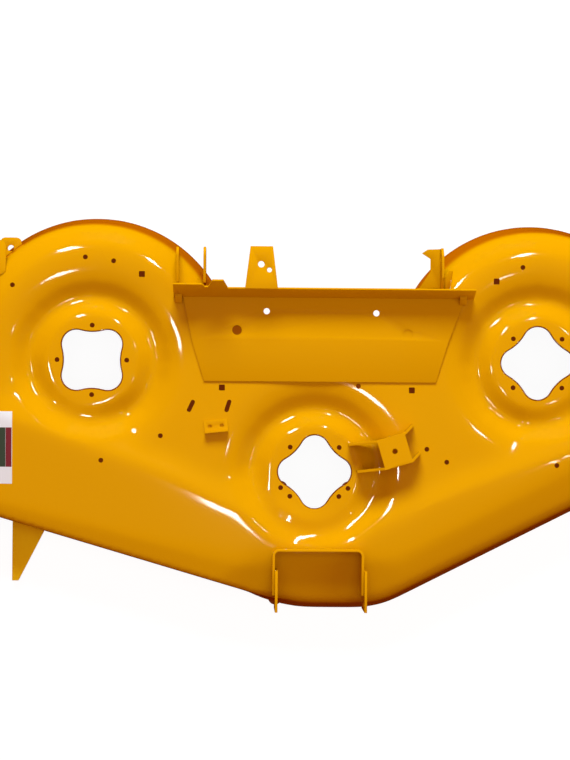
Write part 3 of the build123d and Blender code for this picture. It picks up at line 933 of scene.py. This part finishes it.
@dataclass
class Label:
    """A label stuck on the shell, following its surface.

    Args:
        left: Its left edge, in metres.
        right: Its right edge.
        front: Its front edge.
        rear: Its rear edge.
        film: Its thickness.
        steepest: Upward share of the normal on the steepest sheet it sticks to.
    """

    left: float = -0.632
    right: float = -0.5602
    front: float = -0.0255
    rear: float = 0.1085
    film: float = 0.25 * MM
    steepest: float = 0.7

    def build(self, shell: bpy.types.Object) -> bpy.types.Object:
        """Lift the label off the shell's top face.

        Args:
            shell: The finished shell.

        Returns:
            The finished label.
        """
        label = link(bpy.data.objects.new("label", shell.data.copy()))
        label.data.materials.clear()
        sides = (
            ((self.left, 0, 0), (-1, 0, 0)),
            ((self.right, 0, 0), (1, 0, 0)),
            ((0, self.front, 0), (0, -1, 0)),
            ((0, self.rear, 0), (0, 1, 0)),
        )
        with editing(label):
            for point, outward in sides:
                bpy.ops.mesh.select_all(action="SELECT")
                bpy.ops.mesh.bisect(plane_co=point, plane_no=outward, clear_outer=True)
            bpy.ops.mesh.select_all(action="DESELECT")
            bpy.ops.mesh.select_mode(type="FACE")
            mesh = bmesh.from_edit_mesh(label.data)
            for face in mesh.faces:
                face.select = face.normal.z < self.steepest
            bmesh.update_edit_mesh(label.data)
            bpy.ops.mesh.delete(type="FACE")
            bpy.ops.mesh.select_all(action="SELECT")
            bpy.ops.transform.translate(value=(0, 0, self.film))
        apply_modifier(label, "SOLIDIFY", thickness=self.film, offset=-1.0)
        smooth_faces(label)
        return label


@dataclass
class FoldedPiece:
    """A folded or cut bracket with its edges broken as by a deburring brush.

    Args:
        node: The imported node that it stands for.
        edge: Width of the broken edge, in metres.
        flat_within: Faces that turn less than this become one, in degrees.
        edge_turn: Edges that turn more than this are broken, in degrees.
    """

    node: str
    edge: float = 0.8 * MM
    flat_within: float = 0.3
    edge_turn: float = 40.0

    def build(self) -> bpy.types.Object:
        """Break the edges of the bracket.

        Returns:
            The finished bracket.
        """
        piece = copy_of_node(self.node, f"{self.node}_painted")
        with editing(piece):
            bpy.ops.mesh.select_all(action="SELECT")
            bpy.ops.mesh.dissolve_limited(angle_limit=math.radians(self.flat_within))
        apply_modifier(
            piece,
            "BEVEL",
            width=self.edge,
            segments=2,
            limit_method="ANGLE",
            angle_limit=math.radians(self.edge_turn),
        )
        smooth_faces(piece)
        return piece


@dataclass
class ShadeDisc:
    """A low round disc pressed into the sheet, following its slope, that is dressed dark as
    painted shade in place of a hole.

    Args:
        name: The piece's name.
        place: Its middle in plan, in metres.
        radius: Its radius.
        crown: How far it stands over the sheet.
        sunk: How far it reaches into the sheet.
        sides: How many sides its round edge has.
        rounding: Shape of its rounded edge.
        bend: Sharpest bend that is shaded smooth, in degrees.
    """

    name: str
    place: Pair
    radius: float
    crown: float = 0.7 * MM
    sunk: float = 1.5 * MM
    sides: int = 48
    rounding: float = 0.6
    bend: float = 40.0

    def build(self, sheet: bpy.types.Object) -> bpy.types.Object:
        """Shape the disc on the sheet.

        Args:
            sheet: The finished piece that it sits in.

        Returns:
            The finished disc.
        """
        hit, spot, slope, _ = sheet.ray_cast(Vector((*self.place, OVERHEAD)), DOWN)
        if not hit:
            raise RuntimeError(f"no sheet under {self.name}")
        bpy.ops.object.select_all(action="DESELECT")
        bpy.ops.mesh.primitive_cylinder_add(
            vertices=self.sides, radius=self.radius, depth=self.crown + self.sunk
        )
        shade_disc = bpy.context.object
        shade_disc.name = self.name
        shade_disc.location = spot + slope * (self.crown - self.sunk) / 2
        shade_disc.rotation_mode = "QUATERNION"
        shade_disc.rotation_quaternion = slope.to_track_quat("Z", "Y")
        bpy.ops.object.transform_apply(location=True, rotation=True)
        apply_modifier(
            shade_disc,
            "BEVEL",
            width=self.crown,
            segments=3,
            limit_method="ANGLE",
            profile=self.rounding,
        )
        smooth_faces(shade_disc, self.bend)
        return shade_disc


# One dark disc in the land before the rear plate, and one in the plate itself, each painted shade
# in place of a hole
LAND_SHADE_DISC = ShadeDisc("land_shade_disc", (0.080, 0.160), 4.5 * MM)
PLATE_SHADE_DISC = ShadeDisc("plate_shade_disc", (-0.147, 0.262), 9.5 * MM)


@dataclass
class Studio:
    """The floor, the lamps and the camera.

    Args:
        glossy_pieces: The pieces in which the glints are seen.
        camera_place: Where the camera hangs over the deck, in metres.
        camera_turn: Its tilt, lean and roll, in degrees.
        camera_lens: Its focal length, in millimetres.
        camera_sensor: Width of its sensor, in millimetres.
        camera_sight: How far it sees.
        floor_size: Width of the floor.
        floor_glow: Light that the floor gives off by itself.
        floor_share: How much of the lamps' light it adds to that.
        floor_bounce: Its colour as the paint mirrors it.
        hole_shade: Colour of the shade seen through the small holes.
        hole_spot: Radius of each spot of shade.
        air: Colour of the ambient light.
        softboxes: Name, place, size and power of each lamp that lights the deck.
        glints: The same for each lamp that only shows as a glint.
    """

    glossy_pieces: bpy.types.Collection
    camera_place: Triple = (-0.160, 0.134, 4.0)
    camera_turn: Triple = (0.51, -1.49, 0.44)
    camera_lens: float = 101.9
    camera_sensor: float = 36.0
    camera_sight: float = 100.0
    floor_size: float = 40.0
    floor_glow: float = 0.94
    floor_share: Triple = (0.13, 0.15, 0.16)
    floor_bounce: Triple = (0.14, 0.01, 0.0)
    hole_shade: Triple = (0.13, 0.02, 0.002)
    hole_spot: float = 13.0 * MM
    air: Triple = (0.36, 0.10, 0.02)
    softboxes: tuple[LampRow, ...] = (
        ("key_softbox", (-0.4, 6.9, 4.2), (3.6, 2.8), 715.0),
        ("ceiling_softbox", (0.0, 0.2, 4.6), (4.0, 3.0), 46.0),
        ("right_fill", (3.6, -1.2, 2.8), (2.0, 2.0), 26.0),
    )
    glints: tuple[LampRow, ...] = (
        ("rear_left_glint", (-1.5, 3.1, 5.3), (0.45, 1.1), 60.0),
        ("rear_right_glint", (0.9, 3.1, 5.3), (0.35, 1.0), 44.0),
        ("left_glint", (-2.4, -0.2, 5.5), (0.6, 0.4), 24.0),
        ("right_glint", (2.1, 1.3, 5.5), (0.25, 0.25), 7.0),
        ("left_crest_glint", (-0.31, -0.905, 5.5), (0.34, 0.5), 15.5),
        ("right_crest_glint", (1.6, -0.6, 5.5), (0.15, 0.2), 2.4),
    )

    def camera(self) -> None:
        """Hang the camera almost straight over the deck."""
        data = bpy.data.cameras.new("camera")
        data.sensor_width = self.camera_sensor
        data.lens = self.camera_lens
        data.clip_end = self.camera_sight
        camera = link(bpy.data.objects.new("camera", data))
        camera.location = self.camera_place
        camera.rotation_euler = [math.radians(angle) for angle in self.camera_turn]
        bpy.context.scene.camera = camera

    def lamp(
        self,
        name: str,
        place: Triple,
        size: Pair,
        power: float,
        mirrored: bool = False,
    ) -> None:
        """Add a softbox that faces the deck.

        Args:
            name: The lamp's name.
            place: Where it hangs, in metres.
            size: Its width and height, in metres.
            power: Its power, in watts.
            mirrored: Whether it only shows as a glint in glossy paint.
        """
        data = bpy.data.lights.new(name, "AREA")
        data.shape = "RECTANGLE"
        data.size, data.size_y = size
        data.energy = power
        lamp = link(bpy.data.objects.new(name, data))
        lamp.location = place
        lamp.rotation_mode = "QUATERNION"
        lamp.rotation_quaternion = (-Vector(place)).to_track_quat("-Z", "Y")
        lamp.visible_glossy = mirrored
        lamp.visible_diffuse = not mirrored
        if mirrored:
            lamp.light_linking.receiver_collection = self.glossy_pieces

    def lights(self) -> None:
        """Hang the lamps and set the ambient light."""
        for name, place, size, power in self.softboxes:
            self.lamp(name, place, size, power)
        for name, place, size, power in self.glints:
            self.lamp(name, place, size, power, mirrored=True)
        world = bpy.data.worlds.new("studio_air")
        bpy.context.scene.world = world
        world.use_nodes = True
        world.node_tree.nodes["Background"].inputs["Color"].default_value = (*self.air, 1)

    def floor(self, holes: list[Vector]) -> None:
        """Lay the plain pale floor under the rim.

        Args:
            holes: Small holes of the deck, under which the floor is given painted shade.
        """
        bpy.ops.object.select_all(action="DESELECT")
        bpy.ops.mesh.primitive_plane_add(size=self.floor_size, location=(0, 0, CAD_BOX[0].z))
        floor = bpy.context.object
        floor.name = "floor"
        paper = bpy.data.materials.new("floor_paper")
        paper.use_nodes = True
        nodes = paper.node_tree.nodes
        wires = paper.node_tree.links
        nodes.clear()
        result = nodes.new("ShaderNodeOutputMaterial")
        seen = nodes.new("ShaderNodeLightPath")
        lit = nodes.new("ShaderNodeBsdfDiffuse")
        lit.inputs["Color"].default_value = (*self.floor_share, 1)
        glow = nodes.new("ShaderNodeEmission")
        glow.inputs["Strength"].default_value = self.floor_glow
        dim = nodes.new("ShaderNodeBsdfDiffuse")
        dim.inputs["Color"].default_value = (*self.floor_bounce, 1)
        # Dark glow painted as the shade under the small holes
        deep = nodes.new("ShaderNodeEmission")
        deep.inputs["Color"].default_value = (*self.hole_shade, 1)
        total = nodes.new("ShaderNodeAddShader")
        shaded = nodes.new("ShaderNodeMixShader")
        mix = nodes.new("ShaderNodeMixShader")
        wires.new(lit.outputs["BSDF"], total.inputs[0])
        wires.new(glow.outputs["Emission"], total.inputs[1])
        wires.new(self._hole_mask(paper.node_tree, holes), shaded.inputs["Fac"])
        wires.new(total.outputs["Shader"], shaded.inputs[1])
        wires.new(deep.outputs["Emission"], shaded.inputs[2])
        wires.new(seen.outputs["Is Camera Ray"], mix.inputs["Fac"])
        wires.new(dim.outputs["BSDF"], mix.inputs[1])
        wires.new(shaded.outputs["Shader"], mix.inputs[2])
        wires.new(mix.outputs["Shader"], result.inputs["Surface"])
        floor.data.materials.append(paper)

    def _hole_mask(self, tree: bpy.types.NodeTree, holes: list[Vector]) -> bpy.types.NodeSocket:
        """Mask the spots of floor, seen through the small holes, that are given painted shade.

        Args:
            tree: The floor material's node tree.
            holes: Centres of the holes.

        Returns:
            The socket that is one on those spots and nought elsewhere.
        """
        nodes = tree.nodes
        wires = tree.links
        coords = nodes.new("ShaderNodeTexCoord")
        above = Vector(self.camera_place)
        height = CAD_BOX[0].z
        last = None
        for hole in holes:
            reach = (above.z - height) / (above.z - hole.z)
            spot = above + (hole - above) * reach
            away = nodes.new("ShaderNodeVectorMath")
            away.operation = "DISTANCE"
            away.inputs[1].default_value = (spot.x, spot.y, 0)
            inside = nodes.new("ShaderNodeMath")
            inside.operation = "LESS_THAN"
            inside.inputs[1].default_value = self.hole_spot
            wires.new(coords.outputs["Object"], away.inputs[0])
            wires.new(away.outputs["Value"], inside.inputs[0])
            if last is None:
                last = inside.outputs["Value"]
                continue
            either = nodes.new("ShaderNodeMath")
            either.operation = "MAXIMUM"
            wires.new(last, either.inputs[0])
            wires.new(inside.outputs["Value"], either.inputs[1])
            last = either.outputs["Value"]
        return last

    def build(self, holes: list[Vector]) -> None:
        """Set up the whole studio.

        Args:
            holes: Small holes of the deck.
        """
        bpy.context.scene.view_settings.view_transform = "Standard"
        self.floor(holes)
        self.lights()
        self.camera()


def brackets(shell_node: str) -> list[FoldedPiece]:
    """List the folded and cut brackets, one for each node but the shell.

    Args:
        shell_node: The shell's node.

    Returns:
        The bracket pieces in the order of their names.
    """
    return [FoldedPiece(node) for node in sorted(frame["nodes"]) if node != shell_node]


def main() -> None:
    """Build and dress every piece, and set up the studio."""
    logging.basicConfig(level=logging.INFO)
    shell = DrawnShell()
    drawn = bpy.data.collections.new("glossy_pieces")
    Studio(drawn).build(shell.small_holes())
    top = dress(shell.build(), Look.TOP_ENAMEL, shell.node)
    # The clover lips are dark as painted shade in the walls of the holes
    lips = dress(shell.lips(), Look.CUT_EDGE)
    drawn.objects.link(top)
    drawn.objects.link(lips)
    dress(Label().build(top), Look.LABEL_FILM)
    # The land disc is dark as painted shade in place of a hole
    dress(LAND_SHADE_DISC.build(top), Look.CUT_EDGE)
    for bracket in brackets(shell.node):
        # The guard plate gets a lighter enamel as painted light, where the shell shades it
        look = Look.GUARD_ENAMEL if bracket.node == "guard_plate" else Look.BRACKET_ENAMEL
        piece = dress(bracket.build(), look, bracket.node)
        if bracket.node == "rear_plate":
            # The plate disc is dark as painted shade in place of a hole
            dress(PLATE_SHADE_DISC.build(piece), Look.PLUG_ENAMEL)


if __name__ == "__main__":
    main()
